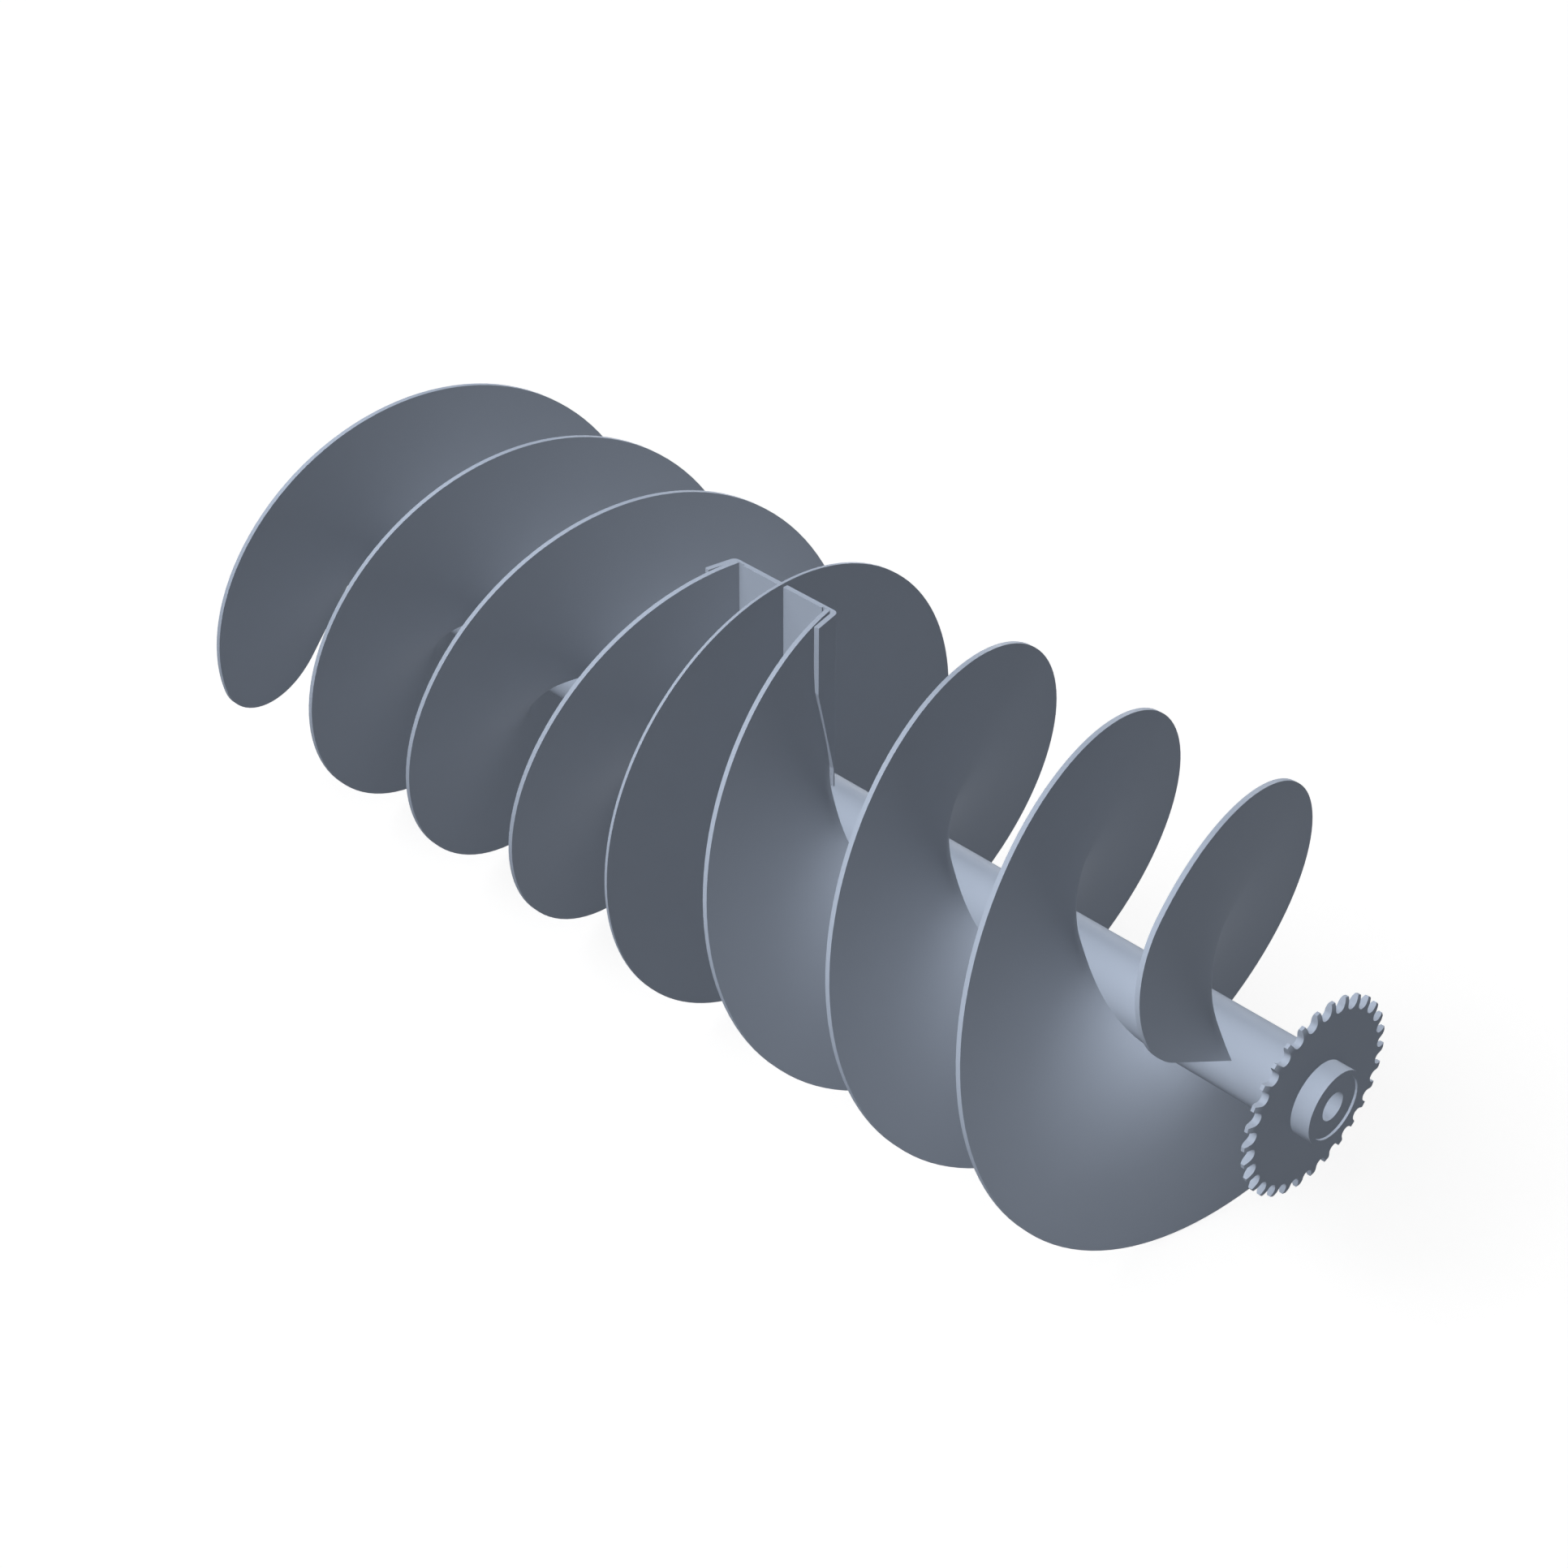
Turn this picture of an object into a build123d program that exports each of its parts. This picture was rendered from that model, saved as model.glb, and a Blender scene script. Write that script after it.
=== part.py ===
"""Snow blower auger, welded up from sheet and tube.

The auger turns about the X axis and the centre disc stands in the YZ plane.
Two flight strips on each side (a double start) wind outwards from the disc, one
side as the mirror image of the other, so both sides carry snow to the middle.
Units are millimetres, +Z up.
"""
import os
from math import acos, asin, cos, pi, radians, sin, sqrt

from build123d import *

os.makedirs("parts", exist_ok=True)

# Tube and its end bushings
tube_r = 23.5
tube_wall = 3.2
tube_half = 430.5
bushing_recess = 1.5
bushing_length = 30.0
bore_r = 9.1

# Flights
flight_r = 150.0
flight_pitch = 200.0
flight_thick = 3.2
flight_start = 38.3
right_bare = 58.87
left_bare = 14.42
corner_r = 50.0

# Centre disc and paddles
disc_proud = 1.6
disc_thick = 2.0
sheet = 3.4
paddle_face = 1.4
paddle_inset = 1.0
bend_r = 1.0
flange_gap = 1.05
flange_width = 19.0
flange_full_r = 101.0
flange_end_r = 37.0

# Chain sprocket: 30 teeth for a chain of 12.7 mm pitch with 7.75 mm rollers
chain_pitch = 12.7
roller_r = 7.75 / 2
teeth = 30
tooth_addendum = 2.25
gap_relief = 1.9
sprocket_thick = 4.5
tooth_tip = 2.2
tooth_side_r = 12.7
sprocket_setback = 12.4

# Clearances between pieces that are welded or pressed together
slip_fit = 0.05
butt_gap = 0.05

root_r = tube_r + slip_fit

# The flights fill the tube up to the bare ends, which is 600 degrees of turn on the right,
# where the sprocket stands, and 680 degrees on the left
right_turns = (tube_half - right_bare - flight_start) / flight_pitch
left_turns = (tube_half - left_bare - flight_start) / flight_pitch

# Flights and paddles are drawn about Z, with Z outwards along the tube, X from the tube
# to the starting edge and Y the way that the flight winds. They are put in place below.


def helical_strip(turns, outer_r, back, front):
    """Solid swept by a radial rectangle from back to front of the middle of the sheet."""
    with BuildPart() as strip:
        with BuildLine() as spine:
            Helix(
                pitch=flight_pitch,
                height=flight_pitch * turns,
                radius=root_r,
                center=(0, 0, flight_start),
            )
        with BuildSketch(Plane.XZ):
            with BuildLine():
                Polyline(
                    (root_r, flight_start + back),
                    (outer_r, flight_start + back),
                    (outer_r, flight_start + front),
                    (root_r, flight_start + front),
                    close=True,
                )
            make_face()
        sweep(path=spine.line, is_frenet=True)
    return strip.part


def flight(turns):
    """One flight, with its butt edge at the paddle and its rounded outer corner."""
    end_z = flight_start + flight_pitch * turns
    turned = radians(360 * turns)
    corner_plane = Plane(
        origin=(0, 0, end_z - 30), x_dir=(cos(turned), sin(turned), 0), z_dir=(0, 0, 1)
    )
    tangent_r = sqrt(flight_r**2 - 2 * flight_r * corner_r)
    tangent_angle = asin(corner_r / (flight_r - corner_r))
    outside = flight_r + 15
    with BuildPart() as made:
        add(helical_strip(turns, flight_r, -flight_thick / 2, flight_thick / 2))
        # the inner end is cut square against the near face of the paddle
        with Locations((flight_r / 2, 0, flight_start)):
            Box(flight_r + 20, 2 * (paddle_face + butt_gap), 20, mode=Mode.SUBTRACT)
        # the outer corner is rounded
        with BuildSketch(corner_plane):
            with BuildLine():
                corner = ThreePointArc(
                    (tangent_r, 0),
                    (tangent_r + corner_r * sin(pi / 3), -corner_r + corner_r * cos(pi / 3)),
                    (flight_r * cos(tangent_angle), -flight_r * sin(tangent_angle)),
                )
                Polyline(
                    corner @ 1,
                    (outside * cos(tangent_angle), -outside * sin(tangent_angle)),
                    (outside, -10),
                    (outside, 6),
                    (tangent_r, 6),
                    corner @ 0,
                )
            make_face()
        extrude(amount=40, mode=Mode.SUBTRACT)
    return made.part


def paddle():
    """A radial plate with a flange bent over the outer side of the flight."""
    # the face that the flight butts against, and the plate's other face
    front = paddle_face
    rear = paddle_face - sheet
    # the flange leans as the rim of the flight does
    slope = flight_pitch / (2 * pi * flight_r)
    lean = sqrt(1 + slope**2)
    inner_foot = flight_start + flight_thick / 2 + flange_gap
    outer_foot = inner_foot + sheet * lean
    flange_end = outer_foot + slope * flange_width
    with BuildPart() as made:
        with BuildSketch(Plane.YZ.offset(tube_r)):
            with BuildLine():
                Polyline(
                    (front, disc_thick / 2),
                    (front, inner_foot + slope * front),
                    (flange_width + slope * sheet / lean, flange_end - sheet / lean),
                    (flange_width, flange_end),
                    (rear, outer_foot + slope * rear),
                    (rear, disc_thick / 2),
                    close=True,
                )
            make_face()
            outside = vertices().filter_by_position(Axis.X, rear - 0.01, rear + 0.01)
            fillet(outside.sort_by(Axis.Y)[-1], radius=bend_r + sheet)
            inside = vertices().filter_by_position(Axis.X, front - 0.01, front + 0.01)
            fillet(inside.sort_by(Axis.Y)[-1], radius=bend_r)
        extrude(amount=flight_r - paddle_inset - tube_r)
        # the flange narrows towards the tube, where the flight twists away from it
        drop = (flange_full_r - flange_end_r) / (flange_width - front)
        with BuildSketch(Plane.XY.offset(flight_start - 5)):
            with BuildLine():
                Polyline(
                    (flange_end_r, front),
                    (flange_end_r + 22 * drop, front + 22),
                    (tube_r - 5, front + 22),
                    (tube_r - 5, front),
                    close=True,
                )
            make_face()
        extrude(amount=20, mode=Mode.SUBTRACT)
        # and its inner face is dressed to the twist of the flight
        add(
            helical_strip(0.15, flight_r + 5, -5, flight_thick / 2 + slip_fit),
            mode=Mode.SUBTRACT,
        )
    return made.part


def placed(piece, side, number):
    """The piece at start 1 (from the top of the disc) or 2 (from the bottom) of one side."""
    start = Plane(origin=(0, 0, 0), x_dir=(0, 0, 3 - 2 * number), z_dir=(1, 0, 0))
    standing = piece.moved(start.location)
    if side == "left":
        standing = standing.mirror(Plane.YZ)
    return standing


with BuildPart() as tube:
    with BuildSketch(Plane.YZ.offset(-tube_half)):
        Circle(tube_r)
        Circle(tube_r - tube_wall, mode=Mode.SUBTRACT)
    extrude(amount=2 * tube_half)

with BuildPart() as centre_disc:
    with BuildSketch(Plane.YZ.offset(-disc_thick / 2)):
        Circle(flight_r + disc_proud)
        Circle(root_r, mode=Mode.SUBTRACT)
    extrude(amount=disc_thick)

# The gap between two teeth: a round bottom, deeper than the roller needs so that packed snow
# can leave it, then a curved flank on either side
pitch_r = chain_pitch / 2 / sin(pi / teeth)
seat_r = 1.01 * roller_r + 0.1
seat_x = pitch_r - gap_relief
seat_half = radians(79)
flank_r = 60.0
seat_end = (seat_x - seat_r * cos(seat_half), seat_r * sin(seat_half))
flank_centre = (
    seat_x - (seat_r + flank_r) * cos(seat_half),
    (seat_r + flank_r) * sin(seat_half),
)


def on_flank(turned):
    """Point of the flank after turning from the end of the seat, degrees."""
    angle = seat_half + radians(turned)
    return (flank_centre[0] + flank_r * cos(angle), flank_centre[1] - flank_r * sin(angle))


with BuildSketch() as tooth_gap:
    with BuildLine():
        ThreePointArc(seat_end, (seat_x - seat_r, 0), (seat_end[0], -seat_end[1]))
        flank = ThreePointArc(seat_end, on_flank(-5), on_flank(-10))
        mirror(flank, about=Plane.XZ)
        Line(flank @ 1, (flank @ 1).rotate(Axis.X, 180))
    make_face()

# The blank is a disc with both faces curved in towards the teeth's tips
front_x = tube_half - sprocket_setback
back_x = front_x - sprocket_thick
tip_r = pitch_r + tooth_addendum
relief = (sprocket_thick - tooth_tip) / 2
relief_turn = acos(1 - relief / tooth_side_r)
relief_start = tip_r - tooth_side_r * sin(relief_turn)
half_x = tooth_side_r * (1 - cos(relief_turn / 2))
half_r = relief_start + tooth_side_r * sin(relief_turn / 2)

with BuildPart() as sprocket:
    with BuildSketch(Plane.XZ):
        with BuildLine():
            ThreePointArc((back_x, relief_start), (back_x + half_x, half_r), (back_x + relief, tip_r))
            Line((back_x + relief, tip_r), (front_x - relief, tip_r))
            ThreePointArc(
                (front_x - relief, tip_r), (front_x - half_x, half_r), (front_x, relief_start)
            )
            Polyline(
                (front_x, relief_start), (front_x, root_r), (back_x, root_r), (back_x, relief_start)
            )
        make_face()
    revolve(axis=Axis.X)
    with BuildSketch(Plane.YZ.offset(back_x - 1)):
        with PolarLocations(0, teeth, start_angle=180.0 / teeth):
            add(tooth_gap.sketch)
    extrude(amount=sprocket_thick + 2, mode=Mode.SUBTRACT)

pieces = {"tube": tube.part, "centre_disc": centre_disc.part, "sprocket": sprocket.part}

for side, sign in (("right", 1), ("left", -1)):
    with BuildPart() as bushing:
        with BuildSketch(Plane.YZ.offset(sign * (tube_half - bushing_recess))):
            Circle(tube_r - tube_wall - slip_fit)
            Circle(bore_r, mode=Mode.SUBTRACT)
        extrude(amount=-sign * bushing_length)
    pieces[f"{side}_bushing"] = bushing.part

one_paddle = paddle()
for side, turns in (("right", right_turns), ("left", left_turns)):
    one_flight = flight(turns)
    for number in (1, 2):
        pieces[f"{side}_flight_{number}"] = placed(one_flight, side, number)
        pieces[f"{side}_paddle_{number}"] = placed(one_paddle, side, number)

for name, piece in pieces.items():
    piece.label = name
    export_step(piece, f"parts/{name}.step")
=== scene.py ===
"""Looks of the snow blower auger: paint, weld beads, light and camera.

Lengths are in metres and the frame is the auger's own: the tube lies along X, the centre
disc stands in the YZ plane, +Z is up.
"""
import math

import bmesh
import bpy
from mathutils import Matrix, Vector


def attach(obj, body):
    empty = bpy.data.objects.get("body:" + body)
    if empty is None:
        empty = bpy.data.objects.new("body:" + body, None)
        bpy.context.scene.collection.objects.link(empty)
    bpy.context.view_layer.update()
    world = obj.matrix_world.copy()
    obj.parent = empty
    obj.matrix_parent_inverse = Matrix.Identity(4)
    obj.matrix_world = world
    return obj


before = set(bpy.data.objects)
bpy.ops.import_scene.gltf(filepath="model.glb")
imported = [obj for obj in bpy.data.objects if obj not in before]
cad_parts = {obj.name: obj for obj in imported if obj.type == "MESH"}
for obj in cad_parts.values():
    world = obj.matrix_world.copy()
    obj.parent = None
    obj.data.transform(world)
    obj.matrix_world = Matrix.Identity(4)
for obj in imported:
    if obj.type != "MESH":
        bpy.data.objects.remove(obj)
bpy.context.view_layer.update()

# Paint, with how much its tone and gloss wander and how fine its orange peel is
PAINT = (0.460, 0.530, 0.652)
PAINT_ROUGHNESS = 0.52
PAINT_SPECULAR = 0.02
TONE_SCALE = 9
TONE_LOWEST = 0.97
TONE_SPREAD = 0.06
ROUGHNESS_SPREAD = 0.08
PEEL_SCALE = 420
PEEL_HEIGHT = 0.00008
PEEL_STRENGTH = 0.25

# Light, as strengths of the sun lamps and the directions that they shine from
FRONT_STRENGTH = 1.12
FRONT_SIDE = (0.05, -0.61, 0.77)
LEFT_STRENGTH = 0.93
LEFT_SIDE = (-0.26, -0.525, 0.81)
SHADOW_STRENGTH = 0.4
EVEN_STRENGTH = 0.187
BACK_STRENGTH = 0.9
BACK_SIDE = (-0.55, 0.83, 0.0)
SHARP_LAMP = math.radians(2)
SOFT_LAMP = math.radians(40)

# Camera: the photograph is taken along the isometric direction
AZIMUTH = math.radians(-45)
ELEVATION = math.radians(35.264)
DISTANCE = 2.0118
TARGET = Vector((0, 0.00327, 0.0131))
FOCAL_LENGTH = 73.58
SENSOR = 36
SHIFT = (-0.00231, -0.01043)
NEAREST = 0.05
FARTHEST = 50

# The floor that the auger rests on
FLOOR_HEIGHT = -0.1517
FLOOR_HALF = 12
FLOOR_PALE = (0.95, 0.95, 0.95, 1)
FLOOR_GLOW = 0.27
WHITE = (1, 1, 1, 1)

# The auger's own sizes where its pieces are welded together
TUBE_RADIUS = 0.0235
FLIGHT_PITCH = 0.200
FLIGHT_HALF = 0.0016
FLIGHT_START = 0.0383
FLIGHT_TURNS = {"right": 600 / 360, "left": 680 / 360}
DISC_HALF = 0.001
PADDLE_FRONT = 0.0014
PADDLE_REAR = 0.0020
PADDLE_TOP = 0.149
PADDLE_END = 0.040
SPROCKET_BACK = 0.4136

# The way along X of each side, and along Z of what starts at the top (1) and the bottom (2)
HAND = {"right": 1, "left": -1}
START = {1: 1, 2: -1}

# Weld beads: their legs, the length of a scale, and the steps that a full turn is drawn in
WELD_LEG = 0.0025
WELD_RIPPLE = 0.0016
RIPPLE_HEIGHT = 0.00022
RIPPLE_STRENGTH = 0.5
RIPPLE_WANDER = 5
TURN_STEPS = 96

# Section of a bead as shares of its two legs. It reaches a tenth into both pieces
BEAD_SECTION = (
    (-0.1, -0.1),
    (1, -0.1),
    (1, 0.02),
    (0.68, 0.36),
    (0.36, 0.68),
    (0.02, 1),
    (-0.1, 1),
)

# Once round the tube, straight and along the root of a flight
RING_LENGTH = 2 * math.pi * TUBE_RADIUS
HELIX_LENGTH = math.hypot(RING_LENGTH, FLIGHT_PITCH)


class Socket:
    """A number or colour of the shader, with sums written as Python expressions."""

    def __init__(self, shader, link):
        self.shader = shader
        self.link = link

    def math(self, operation, *others):
        return self.shader.node("ShaderNodeMath", {"operation": operation}, self, *others)

    def __add__(self, other):
        return self.math("ADD", other)

    def __mul__(self, other):
        return self.math("MULTIPLY", other)

    __radd__ = __add__
    __rmul__ = __mul__


class Shader:
    """The node tree of one material or of the world."""

    def __init__(self, tree):
        self.tree = tree
        tree.nodes.clear()

    def node(self, kind, settings, *values, output=0, **named):
        made = self.tree.nodes.new(kind)
        for name, value in settings.items():
            setattr(made, name, value)
        inputs = list(enumerate(values))
        inputs += [(name.replace("_", " "), value) for name, value in named.items()]
        for key, value in inputs:
            if isinstance(value, Socket):
                self.tree.links.new(value.link, made.inputs[key])
            else:
                made.inputs[key].default_value = value
        return Socket(self, made.outputs[output]) if made.outputs else None


def material(name):
    made = bpy.data.materials.new(name)
    made.use_nodes = True
    return made, Shader(made.node_tree)


def painted(name, ripples=None):
    """Satin paint on steel: a little uneven in tone and gloss, with a fine orange peel.

    On a weld bead, ripples gives the height of the bead's scales under the paint.
    """
    made, shader = material(name)
    place = shader.node("ShaderNodeTexCoord", {}, output="Object")
    tone = shader.node(
        "ShaderNodeTexNoise", {}, Vector=place, Scale=TONE_SCALE, Detail=4, Roughness=0.55
    )
    peel = shader.node(
        "ShaderNodeTexNoise", {}, Vector=place, Scale=PEEL_SCALE, Detail=2, Roughness=0.5
    )
    colour = shader.node(
        "ShaderNodeVectorMath",
        {"operation": "SCALE"},
        PAINT,
        Scale=TONE_LOWEST + TONE_SPREAD * tone,
    )
    if ripples:
        height = ripples(shader, place, RIPPLE_WANDER * peel)
        strength, distance = RIPPLE_STRENGTH, RIPPLE_HEIGHT
    else:
        height = peel
        strength, distance = PEEL_STRENGTH, PEEL_HEIGHT
    bump = shader.node("ShaderNodeBump", {}, Strength=strength, Distance=distance, Height=height)
    surface = shader.node(
        "ShaderNodeBsdfPrincipled",
        {},
        Base_Color=colour,
        Roughness=PAINT_ROUGHNESS + ROUGHNESS_SPREAD * tone,
        Normal=bump,
        Specular_IOR_Level=PAINT_SPECULAR,
    )
    shader.node("ShaderNodeOutputMaterial", {}, Surface=surface)
    return made


def turning_ripples(seam_length):
    """Scales of a bead that goes once round the tube in the length given."""

    def height(shader, place, wander):
        across = shader.node("ShaderNodeSeparateXYZ", {}, place, output="Y")
        up = shader.node("ShaderNodeSeparateXYZ", {}, place, output="Z")
        turned = up.math("ARCTAN2", across)
        wave = round(seam_length / WELD_RIPPLE) * turned + wander
        return wave.math("SINE")

    return height


def straight_ripples(axis):
    """Scales of a straight bead along the axis given."""

    def height(shader, place, wander):
        along = shader.node("ShaderNodeSeparateXYZ", {}, place, output=axis)
        wave = 2 * math.pi / WELD_RIPPLE * along + wander
        return wave.math("SINE")

    return height


paint = painted("paint")
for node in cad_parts.values():
    node.data.materials.clear()
    node.data.materials.append(paint)

helix_paint = painted("helix_bead", turning_ripples(HELIX_LENGTH))
ring_paint = painted("ring_bead", turning_ripples(RING_LENGTH))
radial_paint = painted("radial_bead", straight_ripples("Z"))
axial_paint = painted("axial_bead", straight_ripples("X"))


def bead_outline(bead, corner, floor_leg, wall_leg):
    """Closed outline of a fillet bead: its two legs run from the corner, as vectors."""
    corner, floor_leg, wall_leg = Vector(corner), Vector(floor_leg), Vector(wall_leg)
    ring = [bead.verts.new(corner + u * floor_leg + v * wall_leg) for u, v in BEAD_SECTION]
    return ring + [bead.edges.new((ring[i - 1], ring[i])) for i in range(len(ring))]


def turned_bead(bead, corner, floor_leg, wall_leg, turns, advance):
    """Bead that goes round the X axis by some turns and moves along it by the advance."""
    steps = round(turns * TURN_STEPS)
    outline = bead_outline(bead, corner, floor_leg, wall_leg)
    bmesh.ops.spin(
        bead,
        geom=outline,
        cent=(0, 0, 0),
        axis=(1, 0, 0),
        dvec=(advance / steps, 0, 0),
        angle=2 * math.pi * turns,
        steps=steps,
        use_merge=advance == 0,
    )


def straight_bead(bead, corner, floor_leg, wall_leg, run):
    """Bead that runs straight from the corner by the vector given."""
    outline = bead_outline(bead, corner, floor_leg, wall_leg)
    edges = [item for item in outline if isinstance(item, bmesh.types.BMEdge)]
    drawn = bmesh.ops.extrude_edge_only(bead, edges=edges)["geom"]
    ends = [item for item in drawn if isinstance(item, bmesh.types.BMVert)]
    bmesh.ops.translate(bead, verts=ends, vec=run)


def weld(name, bead, finish):
    """Closes the bead that is drawn and makes it a painted piece of the auger."""
    for face in bead.faces:
        face.smooth = True
    bmesh.ops.holes_fill(bead, edges=bead.edges[:], sides=0)
    bmesh.ops.recalc_face_normals(bead, faces=bead.faces[:])
    mesh = bpy.data.meshes.new(name)
    bead.to_mesh(mesh)
    bead.free()
    mesh.materials.append(finish)
    piece = bpy.data.objects.new(name, mesh)
    bpy.context.scene.collection.objects.link(piece)
    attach(piece, "root")


def flight_weld(side, number):
    """The flight's root bead, on its -X face, from the paddle to its outer end."""
    hand = HAND[side]
    start = START[number]
    turns = FLIGHT_TURNS[side]
    # the flight crosses the tube at a slant, so the bead's leg is longer along the tube
    slant = HELIX_LENGTH / RING_LENGTH
    bead = bmesh.new()
    turned_bead(
        bead,
        (hand * FLIGHT_START - FLIGHT_HALF, 0, start * TUBE_RADIUS),
        (-WELD_LEG * slant, 0, 0),
        (0, 0, start * WELD_LEG),
        turns,
        hand * FLIGHT_PITCH * turns,
    )
    weld(f"{side}_flight_{number}_weld", bead, helix_paint)


def collar_weld(name, place):
    """A bead right round the tube, against the -X face at the place given along X."""
    bead = bmesh.new()
    turned_bead(bead, (place, 0, TUBE_RADIUS), (-WELD_LEG, 0, 0), (0, 0, WELD_LEG), 1, 0)
    weld(name, bead, ring_paint)


def paddle_welds(side, number):
    """The two beads on a paddle's +Y face, up the disc and along the tube."""
    hand = HAND[side]
    start = START[number]
    # the flight stands on this face of the paddle at the bottom, and the bead stops there
    at = {1: PADDLE_REAR, 2: PADDLE_FRONT}[number]
    reach = {1: PADDLE_END, 2: FLIGHT_START - FLIGHT_HALF}[number]
    # heights of the tube's surface at the paddle and at the bead's toe
    foot = math.sqrt(TUBE_RADIUS**2 - at**2)
    toe = math.sqrt(TUBE_RADIUS**2 - (at + WELD_LEG) ** 2)
    corner = (hand * DISC_HALF, at, start * foot)
    upright = bmesh.new()
    straight_bead(
        upright,
        corner,
        (0, WELD_LEG, 0),
        (hand * WELD_LEG, 0, 0),
        (0, 0, start * (PADDLE_TOP - WELD_LEG - foot)),
    )
    weld(f"{side}_paddle_{number}_disc_weld", upright, radial_paint)
    lengthwise = bmesh.new()
    straight_bead(
        lengthwise,
        corner,
        (0, WELD_LEG, start * (toe - foot)),
        (0, 0, start * WELD_LEG),
        (hand * (reach - DISC_HALF), 0, 0),
    )
    weld(f"{side}_paddle_{number}_tube_weld", lengthwise, axial_paint)


collar_weld("centre_disc_weld", -DISC_HALF)
collar_weld("sprocket_weld", SPROCKET_BACK)
for side in ("right", "left"):
    for number in (1, 2):
        flight_weld(side, number)
        paddle_welds(side, number)


def sun(name, towards, strength, angle=SHARP_LAMP, shadow=False):
    """A sun lamp from the direction given, which shades each face by its slope alone."""
    lamp = bpy.data.lights.new(name, "SUN")
    lamp.energy = strength
    lamp.angle = angle
    lamp.use_shadow = shadow
    lamp.cycles.max_bounces = 0
    placed = bpy.data.objects.new(name, lamp)
    placed.rotation_euler = Vector(towards).to_track_quat("Z", "Y").to_euler()
    bpy.context.scene.collection.objects.link(placed)


# The photograph has a plain light with no shadows: two lamps from the front above, and an
# even light from all sides, as twelve lamps at the corners of an icosahedron
sun("front", FRONT_SIDE, FRONT_STRENGTH)
sun("left", LEFT_SIDE, LEFT_STRENGTH)
golden = (1 + math.sqrt(5)) / 2
for a in (-1, 1):
    for b in (-golden, golden):
        for corner in ((0, a, b), (a, b, 0), (b, 0, a)):
            sun("even", corner, EVEN_STRENGTH)
# One more from the left lays the soft shadow on the floor, and one shows the auger's back
sun("shadow", LEFT_SIDE, SHADOW_STRENGTH, angle=SOFT_LAMP, shadow=True)
sun("back", BACK_SIDE, BACK_STRENGTH)


def white_rays(shader):
    """1 for what the eye sees straight, in a reflection or through glass, 0 for other light."""
    seen = shader.node("ShaderNodeLightPath", {}, output="Is Camera Ray")
    glossy = shader.node("ShaderNodeLightPath", {}, output="Is Glossy Ray")
    through = shader.node("ShaderNodeLightPath", {}, output="Is Transmission Ray")
    return seen + glossy + through


def sky():
    """White to the eye and in reflections, and no light on the auger."""
    world = bpy.data.worlds.new("sky")
    world.use_nodes = True
    bpy.context.scene.world = world
    shader = Shader(world.node_tree)
    light = shader.node("ShaderNodeBackground", {}, Color=WHITE, Strength=white_rays(shader))
    shader.node("ShaderNodeOutputWorld", {}, Surface=light)


def floor():
    """Pale floor: white to the eye and in reflections, with the shadow left on it faintly."""
    plane = bmesh.new()
    bmesh.ops.create_grid(plane, x_segments=1, y_segments=1, size=FLOOR_HALF)
    bmesh.ops.translate(plane, verts=plane.verts, vec=(0, 0, FLOOR_HEIGHT))
    mesh = bpy.data.meshes.new("floor")
    plane.to_mesh(mesh)
    plane.free()
    made, shader = material("floor")
    pale = shader.node("ShaderNodeBsdfDiffuse", {}, Color=FLOOR_PALE)
    glow = shader.node(
        "ShaderNodeEmission", {}, Color=WHITE, Strength=FLOOR_GLOW * white_rays(shader)
    )
    surface = shader.node("ShaderNodeAddShader", {}, pale, glow)
    shader.node("ShaderNodeOutputMaterial", {}, Surface=surface)
    mesh.materials.append(made)
    laid = bpy.data.objects.new("floor", mesh)
    bpy.context.scene.collection.objects.link(laid)


sky()
floor()

towards_camera = Vector(
    (
        math.cos(ELEVATION) * math.cos(AZIMUTH),
        math.cos(ELEVATION) * math.sin(AZIMUTH),
        math.sin(ELEVATION),
    )
)
camera_data = bpy.data.cameras.new("camera")
camera_data.sensor_width = SENSOR
camera_data.lens = FOCAL_LENGTH
camera_data.shift_x, camera_data.shift_y = SHIFT
camera_data.clip_start = NEAREST
camera_data.clip_end = FARTHEST
camera = bpy.data.objects.new("camera", camera_data)
camera.location = TARGET + towards_camera * DISTANCE
camera.rotation_euler = towards_camera.to_track_quat("Z", "Y").to_euler()
bpy.context.scene.collection.objects.link(camera)
bpy.context.scene.camera = camera
bpy.context.scene.view_settings.view_transform = "Standard"
